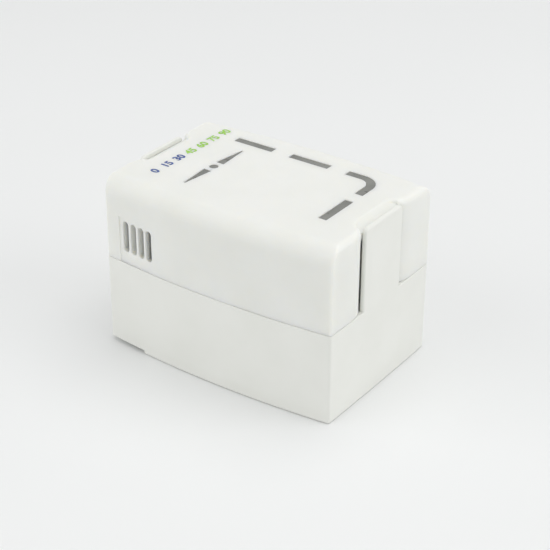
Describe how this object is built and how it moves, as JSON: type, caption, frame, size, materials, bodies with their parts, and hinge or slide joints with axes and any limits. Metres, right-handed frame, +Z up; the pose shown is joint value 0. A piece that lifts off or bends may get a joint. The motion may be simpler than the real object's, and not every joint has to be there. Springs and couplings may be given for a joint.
{
  "type": "motorised actuator head",
  "caption": "Boxy white motorised actuator head with bowed sides, a latched cover with recessed light strokes and vent slots, and a geared quarter-turn square drive underneath.",
  "frame": {"origin": "on the drive axis at the mounting face, which is also the middle of the underside", "axes": "+X along the head towards the end opposite the cable, +Y towards the side away from the vent slots, +Z up, away from the mounting face"},
  "size_m": [0.1086, 0.0764, 0.075],
  "materials": {
    "white_plastic": "fine matt",
    "dark_rubber": "matt",
    "pale_rubber": "matt",
    "brass": "machined",
    "grey_plastic": "matt glass-filled",
    "bronze": "sintered",
    "steel": "ground",
    "plated_can": "zinc plated",
    "black_plastic": "matt",
    "board_green": "solder resist",
    "board_white": "white solder resist",
    "terminal_green": "matt",
    "capacitor_sleeve": "shrink sleeve",
    "cable_grey": "soft",
    "lamp": "resin",
    "light_guide": "frosted",
    "gear_plastic": "acetal",
    "magnet": "nickel plated"
  },
  "bodies": {
    "base": {"base_shell": "white_plastic", "cover_seal": "pale_rubber", "mounting_inserts": "brass", "cable_grommet": "dark_rubber", "gear_plate": "grey_plastic", "lower_bush": "bronze", "upper_bush": "bronze", "shaft_seal": "dark_rubber", "second_gear_pin": "steel", "first_gear_pin": "steel", "motor_can": "plated_can", "motor_end_cap": "black_plastic", "motor_terminals": "brass", "motor_screws": "steel", "board_spacers": "brass", "position_board": "board_green", "position_chip": "black_plastic", "position_board_screws": "steel", "position_header": "brass", "supply_board": "board_green", "supply_board_screws": "steel", "terminal_block": "terminal_green", "terminal_screws": "steel", "power_module": "black_plastic", "supply_capacitor": "capacitor_sleeve", "ribbon_cable": "cable_grey", "ribbon_sockets": "black_plastic", "display_board": "board_green", "board_screws": "steel", "display_leds": "lamp", "display_chip": "black_plastic", "air_sensor_board": "board_white", "air_sensor": "plated_can"},
    "cover": {"cover_shell": "white_plastic", "pointer_light_guide": "light_guide", "frame_light_guide": "light_guide"},
    "latch_right": {"latch_tongue_right": "white_plastic"},
    "latch_left": {"latch_tongue_left": "white_plastic"},
    "drive": {"drive_shaft": "steel", "output_gear": "gear_plastic", "gear_clip": "steel", "position_magnet": "magnet"},
    "second_gear": {"second_gear": "gear_plastic"},
    "first_gear": {"first_gear": "gear_plastic"},
    "rotor": {"motor_shaft": "steel", "motor_pinion": "brass"}
  },
  "joints": [
    {"name": "cover_lift", "type": "slide", "parent": "base", "child": "cover", "axis": [0, 0, 1], "range_m": [0, 0.045]},
    {"name": "latch_right_flex", "type": "hinge", "parent": "base", "child": "latch_right", "pos_m": [0.0543, 0, 0.039], "axis": [0, 1, 0], "range_deg": [0, 6], "stiffness_Nm_per_rad": 0.1},
    {"name": "latch_left_flex", "type": "hinge", "parent": "base", "child": "latch_left", "pos_m": [-0.0543, 0, 0.039], "axis": [0, -1, 0], "range_deg": [0, 6], "stiffness_Nm_per_rad": 0.1},
    {"name": "drive_turn", "type": "hinge", "parent": "base", "child": "drive", "pos_m": [0, 0, 0], "axis": [0, 0, 1], "range_deg": [0, 90]},
    {"name": "second_gear_spin", "type": "hinge", "parent": "base", "child": "second_gear", "pos_m": [0.02786, -0.01359, 0], "axis": [0, 0, 1], "range_deg": [-380, 5]},
    {"name": "first_gear_spin", "type": "hinge", "parent": "base", "child": "first_gear", "pos_m": [0.03219, 0.00676, 0], "axis": [0, 0, 1], "range_deg": [-5, 1256]},
    {"name": "rotor_spin", "type": "hinge", "parent": "base", "child": "rotor", "pos_m": [0.0166, 0.01576, 0], "axis": [0, 0, 1], "range_deg": [-5006, 5]}
  ],
  "couplings": [
    {"joint": "second_gear_spin", "follows": "drive_turn", "ratio": -4.1667},
    {"joint": "first_gear_spin", "follows": "drive_turn", "ratio": 13.889},
    {"joint": "rotor_spin", "follows": "drive_turn", "ratio": -55.556}
  ]
}
